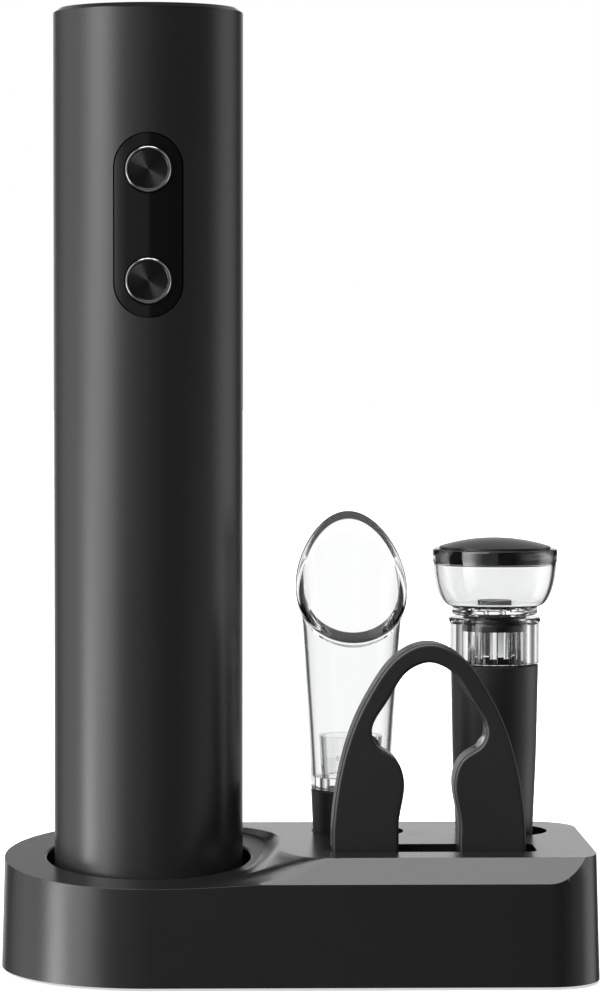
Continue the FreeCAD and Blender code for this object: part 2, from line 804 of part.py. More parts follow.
def motor_magnets():
    ring = tube(motor_r - 0.95, 9.6, motor_z + 6, motor_z + motor_length - 8)
    gap = box(-3, 3, -20, 20, motor_z, motor_z + motor_length)
    return opener_at(Part.makeCompound(ring.cut(gap).Solids))


def motor_end_bell():
    low = motor_z + motor_length - 2
    bell = cylinder(motor_r, low, low + 2).fuse(cylinder(motor_r - 0.95, low - 1.5, low))
    bell = bell.cut(cylinder(3.4, low - 3, low + 0.6))
    bell = bell.cut(cylinder(motor_shaft_r + 0.25, low - 3, low + 3))
    for x in (-7.0, 7.0):
        bell = bell.fuse(box(x - 1.2, x + 1.2, -0.25, 0.25, low + 2, low + 6))
    return opener_at(bell)


def worm_holder():
    low = bulkhead_z - holder_length
    body = turned([(0, low), (5.4, low), (6.0, low + 1), (6.0, bulkhead_z - 1.6), (0, bulkhead_z - 1.6)])
    body = opener_at(body.cut(cylinder(spindle_r, bulkhead_z - spindle_grip, bulkhead_z)))
    return body.cut(corkscrew_worm())


def corkscrew_worm():
    """The round-wire screw, with a tapered point at its free end."""
    length = worm_pitch * worm_turns
    low = bulkhead_z - holder_length - length
    helix = Part.makeHelix(worm_pitch, length, worm_helix_r)
    helix.translate(V(0, 0, low))
    start = V(worm_helix_r, 0, low)
    run = V(0, 2 * math.pi * worm_helix_r, worm_pitch)
    ring = Part.Wire(Part.Circle(start, run, worm_wire_r).toShape())
    wire = Part.Wire(helix.Edges).makePipeShell([ring], True, True)
    ahead = run.normalize() * -1
    point = Part.makeCone(worm_wire_r, 0.3, 5.0, start, ahead)
    return opener_at(wire.fuse(point))


# ---- aerating pourer --------------------------------------------------------------------
def pourer_plug():
    """A ribbed rubber stopper that closes on a bottle, hollow for the wine."""
    top = plug_top_z
    low = pocket_floor_z
    span = top - low
    profile = [(3.6, low), (pourer_foot_r - 0.6, low), (pourer_foot_r, low + 0.8)]
    rings = 3
    for ring in range(rings):
        z = low + 3.0 + 5.0 * ring
        r = pourer_foot_r + (plug_top_r - pourer_foot_r) * (z - low) / span
        profile += [(r - 0.75, z), (r - 0.1, z + 0.6), (r - 0.1, z + 1.6), (r - 0.75, z + 2.2)]
    profile += [(plug_top_r - 0.6, deck_z - 2.0), (plug_top_r - 0.1, top - 2.0), (plug_top_r, top - 0.5),
                (plug_top_r - 0.5, top), (3.6, top)]
    return turned(profile, pourer_x, accessory_y)


def spout_profile(extra):
    """Radius of the spout at its foot, waist, cut and top, with an allowance."""
    points = [(spout_foot_r, plug_top_z), (spout_foot_r + 0.35, 52.0), (spout_lip_r - 1.5, 84.0),
              (spout_lip_r, 98.0), (spout_lip_r + 0.2, 120.0)]
    return [(r + extra, z) for r, z in points]


def spout_plane(drop):
    """All that lies above the slanted mouth, lowered along its normal."""
    block = box(-60, 60, -60, 60, 0, 80)
    block.rotate(V(0, 0, 0), V(1, 0, 0), spout_slant)
    block.translate(V(pourer_x, accessory_y, spout_mouth_z - drop))
    return block


def solid_of(points, x, y):
    return turned([(0, points[0][1])] + points + [(0, points[-1][1])], x, y)


def pourer_spout():
    """The clear flared spout: a thin wall with a slanted mouth and a thick rolled lip."""
    outer = solid_of(spout_profile(0), pourer_x, accessory_y)
    lip = solid_of(spout_profile(0.9), pourer_x, accessory_y).cut(spout_plane(0))
    lip = lip.common(spout_plane(2.6))
    inner = spout_profile(-spout_wall)
    inner[0] = (inner[0][0], plug_top_z + 3.0)
    body = outer.cut(spout_plane(0)).fuse(lip).cut(solid_of(inner, pourer_x, accessory_y))
    return body.cut(cylinder(air_tube_r - 1.2, plug_top_z - 1, plug_top_z + 5, pourer_x, accessory_y))


def pourer_air_tube():
    """The clear inner funnel that stands on the spout's floor and draws air into the wine."""
    low = plug_top_z + 3.0
    high = low + 10.4
    shape = turned([(air_tube_r - 1.2, low), (air_tube_r, low), (air_tube_r + 0.65, high),
                    (air_tube_r - 0.6, high)], pourer_x, accessory_y)
    for turn in range(6):
        fin = box(2.4, air_tube_r - 0.6, -0.4, 0.4, low, low + 4.5)
        fin.rotate(V(0, 0, 0), UP, 60 * turn)
        fin.translate(V(pourer_x, accessory_y, 0))
        shape = shape.fuse(fin)
    return shape.removeSplitter()


# ---- vacuum stopper ---------------------------------------------------------------------
def stopper_sleeve():
    """The soft rubber sleeve that seals in the bottle, with two rings near its foot."""
    low = pocket_floor_z
    top = sleeve_top_z
    wall_in = barrel_r - 2.0
    profile = [(2.6, low), (stopper_foot_r - 0.8, low), (stopper_foot_r, low + 1.0)]
    for ring in range(2):
        z = low + 4.0 + 5.0 * ring
        profile += [(stopper_foot_r - 0.7, z), (stopper_foot_r, z + 0.7), (stopper_foot_r, z + 1.8),
                    (stopper_foot_r - 0.7, z + 2.5)]
    profile += [(sleeve_deck_r, deck_z), (sleeve_top_r - 0.45, 52.0), (sleeve_top_r, top - 0.6),
                (sleeve_top_r - 0.6, top), (wall_in, top), (wall_in, low + 4.0), (2.6, low + 4.0)]
    return turned(profile, stopper_x, accessory_y)


def check_valve():
    """The small rubber valve in the foot of the pump barrel."""
    low = pocket_floor_z + 6.4
    return turned([(0, low), (3.6, low), (3.6, low + 1.0), (1.2, low + 1.0), (1.2, low + 3.2),
                   (0, low + 3.2)], stopper_x, accessory_y)


def pump_barrel():
    """The clear pump cylinder: it stands in the sleeve and widens where it shows above it."""
    low = pocket_floor_z + 4.0
    inside = piston_r + 0.35
    foot_r = barrel_r - 2.0 - fit_gap
    step_z = sleeve_top_z + fit_gap
    profile = [(1.6, low), (foot_r, low), (foot_r, step_z), (barrel_r, step_z),
               (barrel_r, barrel_top_z - 1.6), (barrel_r + 0.4, barrel_top_z - 0.8),
               (barrel_r + 0.4, barrel_top_z - 0.3), (barrel_r, barrel_top_z), (inside, barrel_top_z),
               (inside, low + 2.4), (1.6, low + 2.4)]
    return turned(profile, stopper_x, accessory_y)


def pump_piston():
    """The clear ribbed piston rod with the disc that carries the knob."""
    low = piston_foot_z
    disc = disc_z
    profile = [(0, low), (piston_r - 1.5, low), (piston_r - 1.5, low + 4.0), (piston_r - 0.5, low + 4.0)]
    z = low + 8.0
    while z < barrel_top_z - 8.0:
        profile += [(piston_r - 0.5, z), (piston_r - 0.9, z + 0.5), (piston_r - 0.9, z + 1.3),
                    (piston_r - 0.5, z + 1.8)]
        z += 4.2
    profile += [(piston_r - 0.5, barrel_top_z - 3.4), (piston_r - 1.4, barrel_top_z - 3.4),
                (piston_r - 1.4, disc), (bowl_base_r, disc), (bowl_base_r, bowl_z), (0, bowl_z)]
    return turned(profile, stopper_x, accessory_y)


def piston_seal():
    """The rubber cup at the piston's foot."""
    low = piston_foot_z + 0.2
    return turned([(piston_r - 1.5, low), (piston_r + 0.1, low), (piston_r + 0.3, low + 1.5),
                   (piston_r + 0.1, low + 3.2), (piston_r - 1.5, low + 3.2)], stopper_x, accessory_y)


def pump_gland():
    """The black collar at the top of the piston, under its disc."""
    low = barrel_top_z - 3.4
    return turned([(piston_r - 1.4, low), (piston_r + 0.0, low), (piston_r + 0.0, low + 1.5),
                   (piston_r - 0.3, low + 1.9), (piston_r - 0.1, low + 3.7), (piston_r - 1.4, low + 3.7)],
                  stopper_x, accessory_y)


def pump_nut():
    return cylinder(nut_r, bowl_z, bowl_z + nut_height, stopper_x, accessory_y)


def pump_bowl():
    """The clear bowl-shaped knob, with a thin rim that stands up round the band."""
    low = bowl_z
    outer = [(bowl_base_r, low), (bowl_base_r + 0.6, low + 1.0), (13.2, low + 3.0), (14.4, low + 5.3),
             (15.2, low + 8.2), (bowl_rim_r - 0.2, band_z)]
    inner = [(r - bowl_wall, z) for r, z in reversed(outer[1:])]
    top = band_z + band_height
    rim_inside = bowl_rim_r - rim_wall
    rim = [(bowl_rim_r, band_z + 0.6), (bowl_rim_r, top - 0.3), (bowl_rim_r - 0.3, top), (rim_inside, top),
           (rim_inside, band_z)]
    floor = [(bowl_base_r - bowl_wall - 0.5, low + 0.7), (nut_r + fit_gap, low + 0.7), (nut_r + fit_gap, low)]
    return turned(outer + rim + inner + floor, stopper_x, accessory_y)


def pump_ring():
    """The black band inside the bowl's rim, which carries the cap."""
    inside = bowl_rim_r - 2.6
    outside = bowl_rim_r - rim_wall - fit_gap
    top = band_z + band_height
    return turned([(inside, band_z), (outside, band_z), (outside, top - 0.2), (outside - 0.2, top),
                   (cap_r + fit_gap, top), (cap_r + fit_gap, cap_seat_z), (inside, cap_seat_z)],
                  stopper_x, accessory_y)


def pump_cap():
    """The low black dome that closes the knob."""
    edge = cap_edge_z
    sphere_r = (cap_r ** 2 + cap_rise ** 2) / (2 * cap_rise)
    skirt = cylinder(cap_r, cap_seat_z, edge, stopper_x, accessory_y)
    ball = Part.makeSphere(sphere_r, V(stopper_x, accessory_y, edge + cap_rise - sphere_r))
    dome = ball.common(cylinder(cap_r, edge, edge + cap_rise + 1, stopper_x, accessory_y))
    return skirt.fuse(dome)


# ---- foil cutter ------------------------------------------------------------------------
def curve(points):
    spline = Part.BSplineCurve()
    spline.interpolate(points)
    return spline.toShape()


def cutter_frame():
    """The arch: two broad legs that meet over the gap for a bottle's neck."""
    low = pocket_floor_z
    y = cutter_y - cutter_thickness / 2
    top = cutter_top_z

    def at(x, z):
        return V(cutter_x + x, y, z)

    outer_half = [(cutter_leg, top - 46.0), (cutter_leg - 0.45, top - 40.6), (21.0, top - 27.9),
                  (17.3, top - 17.3), (13.8, top - 10.8), (8.0, top - 3.3), (0, top)]
    inner_half = [(cutter_gap, top - 46.6), (cutter_gap - 0.75, top - 39.6), (6.1, top - 34.2),
                  (6.6, top - 31.4), (8.1, top - 28.5), (10.1, top - 26.9), (12.5, top - 25.3),
                  (13.8, top - 23.2), (14.0, top - 21.0), (12.9, top - 18.1), (10.5, top - 14.5),
                  (8.1, top - 10.4), (5.7, top - 7.2), (2.9, top - 5.4), (0, top - 4.7)]
    outer = [at(x, z) for x, z in outer_half] + [at(-x, z) for x, z in reversed(outer_half[:-1])]
    inner = [at(x, z) for x, z in inner_half] + [at(-x, z) for x, z in reversed(inner_half[:-1])]
    edges = [
        curve(outer),
        Part.makeLine(outer[-1], at(-cutter_leg, low)),
        Part.makeLine(at(-cutter_leg, low), at(-cutter_gap, low)),
        Part.makeLine(at(-cutter_gap, low), inner[-1]),
        curve(list(reversed(inner))),
        Part.makeLine(inner[0], at(cutter_gap, low)),
        Part.makeLine(at(cutter_gap, low), at(cutter_leg, low)),
        Part.makeLine(at(cutter_leg, low), outer[0]),
    ]
    frame = Part.Face(Part.Wire(edges)).extrude(V(0, cutter_thickness, 0))
    frame = rounded(frame, 0.8, lambda e: e.BoundBox.YLength < 1e-4 and e.BoundBox.ZMax > low + 1)
    for x in wheel_places():
        slot = rod_y(wheel_r + 0.5, cutter_y - 0.7, cutter_y + 0.7, x, wheel_z)
        frame = frame.cut(slot)
        frame = frame.cut(rod_y(axle_r, cutter_y - 4.0, cutter_y + cutter_thickness, x, wheel_z))
    return frame


def wheel_places():
    return cutter_x - wheel_x, cutter_x + wheel_x


def cutter_wheel(x):
    """A steel disc ground to an edge all round."""
    half = wheel_thickness / 2
    points = [(axle_r + 0.05, -half), (wheel_r - 0.9, -half), (wheel_r, -0.05), (wheel_r, 0.05),
              (wheel_r - 0.9, half), (axle_r + 0.05, half)]
    corners = [V(x + r, cutter_y + y, wheel_z) for r, y in points]
    face = Part.Face(Part.makePolygon(corners + corners[:1]))
    return face.revolve(V(x, cutter_y, wheel_z), V(0, 1, 0), 360)


def cutter_wheel_left():
    return cutter_wheel(wheel_places()[0])


def cutter_wheel_right():
    return cutter_wheel(wheel_places()[1])


def cutter_axles():
    return Part.makeCompound([rod_y(axle_r, cutter_y - 4.0, cutter_y + 4.0, x, wheel_z)
                              for x in wheel_places()])


# ---- every piece, by the name of its file -----------------------------------------------
pieces = {
    "stand_shell": stand_shell,
    "stand_bottom_cover": stand_bottom_cover,
    "stand_feet": stand_feet,
    "stand_screws": stand_screws,
    "well_pad": well_pad,
    "well_liner": well_liner,
    "opener_tube": opener_tube,
    "opener_top_cap": opener_top_cap,
    "bottle_guide": bottle_guide,
    "cork_chamber": cork_chamber,
    "gear_bulkhead": gear_bulkhead,
    "gearbox_screws": gearbox_screws,
    "gear_ring_housing": gear_ring_housing,
    "spindle_bush": spindle_bush,
    "chassis_front": chassis_front,
    "chassis_rear": chassis_rear,
    "chassis_screws": chassis_screws,
    "button_panel": button_panel,
    "up_button": up_button,
    "down_button": down_button,
    "control_board": control_board,
    "tact_switches": tact_switches,
    "charge_board": charge_board,
    "usb_port": usb_port,
    "battery_cell": battery_cell,
    "battery_tabs": battery_tabs,
    "output_carrier": output_carrier,
    "first_carrier": first_carrier,
    "motor_pinion": motor_pinion,
    "motor_rotor": motor_rotor,
    "motor_can": motor_can,
    "motor_magnets": motor_magnets,
    "motor_end_bell": motor_end_bell,
    "worm_holder": worm_holder,
    "corkscrew_worm": corkscrew_worm,
    "pourer_plug": pourer_plug,
    "pourer_spout": pourer_spout,
    "pourer_air_tube": pourer_air_tube,
    "stopper_sleeve": stopper_sleeve,
    "check_valve": check_valve,
    "pump_barrel": pump_barrel,
    "pump_piston": pump_piston,
    "piston_seal": piston_seal,
    "pump_gland": pump_gland,
    "pump_nut": pump_nut,
    "pump_bowl": pump_bowl,
    "pump_ring": pump_ring,
    "pump_cap": pump_cap,
    "cutter_frame": cutter_frame,
    "cutter_wheel_left": cutter_wheel_left,
    "cutter_wheel_right": cutter_wheel_right,
    "cutter_axles": cutter_axles,
}

os.makedirs("parts", exist_ok=True)
for name, make in pieces.items():
    make().exportStep(f"parts/{name}.step")
for stage, label in ((0, "output"), (1, "first")):
    for turn in range(planet_count):
        planet(stage, turn).exportStep(f"parts/{label}_planet_{turn + 1}.step")
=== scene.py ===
"""Looks for the electric wine opener set, laid out as an add-on and run as a script."""
import math

import bpy
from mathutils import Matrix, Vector


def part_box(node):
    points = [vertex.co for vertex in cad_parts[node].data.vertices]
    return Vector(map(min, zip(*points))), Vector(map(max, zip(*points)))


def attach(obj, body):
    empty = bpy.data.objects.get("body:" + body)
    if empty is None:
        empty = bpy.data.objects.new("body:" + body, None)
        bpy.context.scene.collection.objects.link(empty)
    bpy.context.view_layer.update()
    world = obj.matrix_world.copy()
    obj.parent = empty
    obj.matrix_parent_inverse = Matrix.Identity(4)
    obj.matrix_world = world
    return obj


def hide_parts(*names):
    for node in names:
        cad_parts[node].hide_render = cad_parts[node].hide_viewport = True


bl_info = {
    "name": "Wine Opener Set Finisher",
    "version": (1, 0, 0),
    "blender": (4, 5, 0),
    "location": "View3D > Sidebar > Wine Opener",
    "description": "Finishes a wine opener, its stand and its accessories",
    "category": "Object",
}

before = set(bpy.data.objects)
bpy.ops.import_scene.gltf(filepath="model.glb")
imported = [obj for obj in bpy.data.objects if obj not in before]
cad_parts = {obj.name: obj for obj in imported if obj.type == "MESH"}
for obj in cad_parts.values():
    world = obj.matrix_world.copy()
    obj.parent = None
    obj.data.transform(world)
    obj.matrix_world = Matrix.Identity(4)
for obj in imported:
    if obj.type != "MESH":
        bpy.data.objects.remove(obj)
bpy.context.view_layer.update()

mm = 0.001


def middle(node):
    """The middle of a node's box."""
    low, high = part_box(node)
    return (Vector(low) + Vector(high)) / 2


opener_axis = middle("opener_tube")
pourer_axis = middle("pourer_plug")
stopper_axis = middle("stopper_sleeve")
plug_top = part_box("pourer_plug")[1][2]
bowl_low, bowl_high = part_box("pump_bowl")

# The clear spout: its mouth's height above the plug, the mouth's slant in degrees, and how
# much its back narrows.
mouth_height = 54.2 * mm
mouth_slant = 48.5
back_taper = -0.34
spout_gloss = 0.2

# The buttons' spun faces: groove spacing, how far a groove leans, and the diamond-cut rim.
groove_pitch = 0.21 * mm
groove_lean = 0.34
face_radius = 4.98 * mm
rim_inside = 5.08 * mm
rim_outside = 5.46 * mm

# The pump's piston: a plain rod whose every other side is drawn out into a rib.
rib_count = 12
rod_radius = 5.9 * mm
rib_height = 0.95 * mm
rib_bevel = 0.15 * mm

# The camera: lens in millimetres, sideways shift, place in metres and aim in degrees.
camera_lens = 140.2
camera_sensor = 36.0
camera_shift = 0.076
camera_back = 0.9624
camera_height = 0.1614
camera_dip = 2.602
camera_swing = -1.125

# The studio's soft boxes. Turn is measured from the front and grows to the right, and rise is
# measured up from the horizon, both in degrees. Each range gives where the light starts, is
# full, starts to fade and has gone.
soft_boxes = (
    # turn, rise, strength
    ((-84.0, -66.0, -56.0, -37.0), (-26.0, 26.0, 45.0, 60.0), 6.4),
    ((-88.0, -84.0, -74.0, -69.0), (-40.0, -25.0, -9.0, -4.0), 12.0),
    ((-150.0, -104.0, -52.0, -24.0), (-50.0, -30.0, 40.0, 60.0), 1.1),
    ((82.0, 98.0, 114.0, 140.0), (-50.0, -30.0, 40.0, 60.0), 0.95),
    ((30.0, 75.0, 100.0, 140.0), (-40.0, -25.0, -6.0, -3.0), 0.75),
)
back_bands = (
    # rise, strength
    ((-12.5, -8.0, 0.0, 4.0), 0.98),
    ((0.0, 4.0, 11.0, 17.0), 1.12),
    ((11.0, 17.0, 42.0, 60.0), 0.36),
)
round_boxes = (
    # direction, inner and outer angle, strength
    ((0.0, -0.3, 0.95), 22.0, 32.0, 5.6),
    ((-0.45, -0.72, 0.53), 12.0, 18.0, 5.0),
)
front_strength = 0.2
room_strength = 0.04
floor_glow = 0.62


# ---- settings ---------------------------------------------------------------------------
def colour(name, value, text):
    return bpy.props.FloatVectorProperty(name=name, description=text, default=value, size=3,
                                         min=0.0, max=1.0, subtype="COLOR")


def length(name, value, text):
    return bpy.props.FloatProperty(name=name, description=text, default=value, min=0.0,
                                   unit="LENGTH", subtype="DISTANCE")


def share(name, value, text):
    return bpy.props.FloatProperty(name=name, description=text, default=value, min=0.0, max=1.0,
                                   subtype="FACTOR")


class CasingFinish(bpy.types.PropertyGroup):
    """Colours and finishes of the opener, the stand and the foil cutter."""
    tube: colour("Tube", (0.009, 0.009, 0.0094), "Anodised aluminium of the opener's tube")
    tube_roughness: share("Tube roughness", 0.31, "How matte the anodised tube is")
    stand: colour("Stand", (0.0068, 0.0068, 0.0071), "Moulded plastic of the stand")
    stand_roughness: share("Stand roughness", 0.24, "How matte the stand is")
    panel: colour("Panel", (0.003, 0.003, 0.003), "Glossy plastic of the button panel")
    cutter: colour("Foil cutter", (0.006, 0.006, 0.0062), "Satin plastic of the foil cutter")
    edge_round: length("Edge rounding", 0.45 * mm, "Radius on the stand's moulded edges")
    panel_round: length("Panel rounding", 0.3 * mm, "Radius on the button panel's outer edge")


class AccessoryFinish(bpy.types.PropertyGroup):
    """Sizes and colours of the pourer and the vacuum stopper."""
    rubber: colour("Rubber", (0.0035, 0.0035, 0.0036), "Soft black rubber")
    clear: colour("Clear plastic", (0.97, 0.975, 0.975), "Polished clear plastic")
    spout_wall: length("Spout wall", 1.15 * mm, "Thickness of the clear spout")
    spout_lip: length("Spout lip", 13.95 * mm, "Radius of the spout's flared lip")
    bowl_wall: length("Bowl wall", 1.0 * mm, "Thickness of the clear knob")


# ---- shading ----------------------------------------------------------------------------
class Wire:
    """A shader socket that can be written into arithmetic."""

    def __init__(self, recipe, socket):
        self.recipe = recipe
        self.socket = socket

    def join(self, operation, other, swapped=False):
        values = (other, self) if swapped else (self, other)
        return self.recipe.node("Math", {"operation": operation}, {0: values[0], 1: values[1]})

    def __add__(self, other):
        return self.join("ADD", other)

    def __sub__(self, other):
        return self.join("SUBTRACT", other)

    def __rsub__(self, other):
        return self.join("SUBTRACT", other, True)

    def __mul__(self, other):
        return self.join("MULTIPLY", other)

    def __gt__(self, other):
        return self.join("GREATER_THAN", other)

    def __lt__(self, other):
        return self.join("LESS_THAN", other)


class Tree:
    """A node tree under construction, with one method that adds nodes."""

    def __init__(self, owner):
        owner.use_nodes = True
        self.tree = owner.node_tree

    def node(self, kind, settings=None, inputs=None, output=0):
        made = self.tree.nodes.new("ShaderNode" + kind)
        for key, value in (settings or {}).items():
            setattr(made, key, value)
        for key, value in (inputs or {}).items():
            self.feed(made.inputs[key], value)
        return Wire(self, made.outputs[output])

    def feed(self, socket, value):
        if isinstance(value, Wire):
            self.tree.links.new(value.socket, socket)
        else:
            socket.default_value = value

    def ramp(self, value, start, end):
        """A smooth rise from 0 at the start to 1 at the end, which may be the lower of the two."""
        return self.node("MapRange", {"interpolation_type": "SMOOTHSTEP"},
                         {"Value": value, "From Min": start, "From Max": end})


class Recipe(Tree):
    """A material under construction."""

    def __init__(self, name):
        self.material = bpy.data.materials.new(name)
        super().__init__(self.material)
        self.surface = self.tree.nodes["Principled BSDF"]

    def put(self, label, value):
        self.feed(self.surface.inputs[label], value)

    def place(self):
        return self.node("TexCoord", output="Object")

    def noise(self, scale, detail=3.0, stretch=(1.0, 1.0, 1.0)):
        """Noise on object coordinates; the scale is in features per metre."""
        spread = self.node("Mapping", {"vector_type": "POINT"},
                           {"Vector": self.place(), "Scale": stretch})
        return self.node("TexNoise", {}, {"Vector": spread, "Scale": scale, "Detail": detail})

    def mixed(self, factor, first, second):
        """A colour between two colours."""
        return self.node("Mix", {"data_type": "RGBA"}, {"Factor": factor, 6: first, 7: second},
                         output=2)

    def bump(self, height, depth):
        """A bump whose depth is in metres."""
        self.put("Normal", self.node("Bump", {}, {"Height": height, "Distance": depth, "Strength": 1.0}))


def opaque(tone):
    return (tone[0], tone[1], tone[2], 1.0)


def lighter(tone, amount):
    return tuple(min(1.0, part * amount) for part in tone[:3]) + (1.0,)


def moulded_plastic(name, tone, roughness, grain=0.00002, grain_scale=3400.0, spread=0.05):
    """Injection-moulded plastic: a spark-eroded grain, with a little unevenness in its gloss."""
    recipe = Recipe(name)
    fine = recipe.noise(grain_scale, 2.0)
    broad = recipe.noise(60.0, 4.0)
    recipe.put("Base Color", recipe.mixed(broad, opaque(tone), lighter(tone, 1.25)))
    recipe.put("Roughness", broad * spread + (roughness - spread / 2))
    recipe.bump(fine, grain)
    recipe.put("IOR", 1.5)
    return recipe.material


def anodised_aluminium(name, tone, roughness):
    """Bead-blasted and anodised metal: a tight even grain and faint drawing lines."""
    recipe = Recipe(name)
    blast = recipe.noise(6000.0, 2.0)
    drawn = recipe.noise(900.0, 3.0, (1.0, 1.0, 0.01))
    broad = recipe.noise(25.0, 3.0)
    recipe.put("Base Color", recipe.mixed(broad, opaque(tone), lighter(tone, 1.2)))
    recipe.put("Roughness", broad * 0.05 + drawn * 0.04 + (roughness - 0.045))
    recipe.bump(blast + drawn * 0.25, 0.000006)
    recipe.put("IOR", 1.5)
    return recipe.material


def polished_black(name, tone, roughness=0.08):
    """Piano black: almost a mirror, with the faintest waviness and fine wipe marks."""
    recipe = Recipe(name)
    peel = recipe.noise(350.0, 2.0)
    wipe = recipe.noise(140.0, 5.0, (1.0, 1.0, 0.15))
    recipe.put("Base Color", opaque(tone))
    recipe.put("Roughness", wipe * 0.04 + (roughness - 0.02))
    recipe.bump(peel, 0.0000025)
    recipe.put("IOR", 1.5)
    return recipe.material


def soft_rubber(name, tone, roughness=0.42):
    """Black rubber with a silky skin, a little dust in its gloss and a fine grain."""
    recipe = Recipe(name)
    fine = recipe.noise(2600.0, 3.0)
    broad = recipe.noise(80.0, 4.0)
    recipe.put("Base Color", recipe.mixed(broad, opaque(tone), lighter(tone, 1.5)))
    recipe.put("Roughness", broad * 0.12 + (roughness - 0.06))
    recipe.bump(fine, 0.000012)
    recipe.surface.inputs["Sheen Weight"].default_value = 0.08
    recipe.surface.inputs["Sheen Roughness"].default_value = 0.4
    return recipe.material


def clear_plastic(name, tone, roughness=0.015, gloss=1.0):
    """Polished clear acrylic with the faint flow lines of its moulding."""
    recipe = Recipe(name)
    flow = recipe.noise(110.0, 3.0, (1.0, 1.0, 0.35))
    recipe.put("Base Color", opaque(tone))
    recipe.put("Roughness", flow * 0.02 + roughness)
    recipe.bump(flow, 0.00002)
    recipe.put("IOR", 1.46)
    recipe.surface.inputs["Transmission Weight"].default_value = 1.0
    recipe.surface.inputs["Specular Tint"].default_value = opaque((gloss, gloss, gloss))
    return recipe.material


def bright_metal(name, tone, roughness, stretch=(1.0, 1.0, 1.0), scale=1500.0, depth=0.000004):
    """Steel or bronze with turning marks or a ground grain."""
    recipe = Recipe(name)
    lines = recipe.noise(scale, 3.0, stretch)
    broad = recipe.noise(90.0, 4.0)
    recipe.put("Base Color", recipe.mixed(broad, opaque(tone), lighter(tone, 0.8)))
    recipe.put("Metallic", 1.0)
    recipe.put("Roughness", lines * 0.1 + broad * 0.06 + (roughness - 0.08))
    recipe.bump(lines, depth)
    return recipe.material


def circuit_board(name):
    """Green solder mask over copper tracks."""
    recipe = Recipe(name)
    cells = recipe.node("TexVoronoi", {"feature": "DISTANCE_TO_EDGE"},
                        {"Vector": recipe.place(), "Scale": 420.0})
    track = cells < 0.09
    recipe.put("Base Color", recipe.mixed(track, (0.01, 0.07, 0.03, 1.0), (0.03, 0.2, 0.07, 1.0)))
    recipe.put("Roughness", track * -0.1 + 0.4)
    recipe.bump(track, 0.00003)
    return recipe.material


def cell_wrap(name):
    """Shrink sleeve of a lithium cell: blue film with a pale insulating band at the top."""
    recipe = Recipe(name)
    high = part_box("battery_cell")[1][2]
    split = recipe.node("SeparateXYZ", {}, {0: recipe.place()}, output=2)
    band = split > high - 3.0 * mm
    creases = recipe.noise(260.0, 4.0, (1.0, 1.0, 0.3))
    recipe.put("Base Color", recipe.mixed(band, (0.02, 0.12, 0.38, 1.0), (0.7, 0.7, 0.68, 1.0)))
    recipe.put("Roughness", creases * 0.15 + 0.22)
    recipe.bump(creases, 0.00006)
    return recipe.material


def spun_button(name, centre):
    """A dark face turned in fine grooves inside a bright diamond-cut rim."""
    recipe = Recipe(name)
    away = recipe.node("VectorMath", {"operation": "SUBTRACT"},
                       {0: recipe.place(), 1: tuple(centre)})
    flat = recipe.node("VectorMath", {"operation": "MULTIPLY"}, {0: away, 1: (1.0, 0.0, 1.0)})
    radius = recipe.node("VectorMath", {"operation": "LENGTH"}, {0: flat}, output="Value")
    outward = recipe.node("VectorMath", {"operation": "NORMALIZE"}, {0: flat})
    outward = recipe.node("VectorTransform", {"vector_type": "VECTOR", "convert_from": "OBJECT",
                                              "convert_to": "WORLD"}, {0: outward})
    edge = radius > face_radius
    bright = (radius > rim_inside) * (radius < rim_outside)
    groove = recipe.node("Math", {"operation": "SINE"}, {0: radius * (2 * math.pi / groove_pitch)})
    tilt = recipe.node("VectorMath", {"operation": "SCALE"},
                       {0: outward, "Scale": groove * (1.0 - edge) * groove_lean})
    surface = recipe.node("NewGeometry", output="Normal")
    leaning = recipe.node("VectorMath", {"operation": "ADD"}, {0: surface, 1: tilt})
    recipe.put("Normal", recipe.node("VectorMath", {"operation": "NORMALIZE"}, {0: leaning}))
    recipe.put("Base Color", recipe.mixed(bright, (0.035, 0.035, 0.036, 1.0),
                                          (0.55, 0.55, 0.56, 1.0)))
    recipe.put("Metallic", 1.0)
    recipe.put("Roughness", 0.2 - bright * 0.04)
    return recipe.material


# ---- modelling --------------------------------------------------------------------------
def deselect():
    bpy.ops.object.select_all(action="DESELECT")


def activate(piece):
    deselect()
    piece.select_set(True)
    bpy.context.view_layer.objects.active = piece


def settle(piece, smooth=32.0):
    """Applies the place and scale, and shades the piece smooth except across sharp edges."""
    activate(piece)
    bpy.ops.object.transform_apply(location=True, rotation=True, scale=True)
    bpy.ops.object.shade_smooth_by_angle(angle=math.radians(smooth))
    return piece


def finish_piece(piece, body, material, nodes=()):
    piece.data.materials.clear()
    piece.data.materials.append(material)
    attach(piece, body)
    if nodes:
        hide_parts(*nodes)
    return piece


def dress(material, *nodes):
    """Gives CAD nodes a material."""
    for name in nodes:
        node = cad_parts[name]
        if not node.data.materials:
            node.data.materials.append(material)
        for index in range(len(node.data.materials)):
            node.data.materials[index] = material


def node_copy(name, new_name):
    """A separate copy of a CAD node's mesh, with its loose triangles merged."""
    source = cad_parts[name]
    piece = bpy.data.objects.new(new_name, source.data.copy())
    bpy.context.collection.objects.link(piece)
    activate(piece)
    bpy.ops.object.mode_set(mode="EDIT")
    bpy.ops.mesh.select_all(action="SELECT")
    bpy.ops.mesh.customdata_custom_splitnormals_clear()
    bpy.ops.mesh.remove_doubles(threshold=0.002 * mm)
    bpy.ops.mesh.dissolve_limited(angle_limit=math.radians(0.2))
    bpy.ops.object.mode_set(mode="OBJECT")
    return piece


def modify(piece, kind, **settings):
    """Adds a modifier and applies it."""
    activate(piece)
    modifier = piece.modifiers.new(kind.title(), kind)
    for key, value in settings.items():
        setattr(modifier, key, value)
    bpy.ops.object.modifier_apply(modifier=modifier.name)


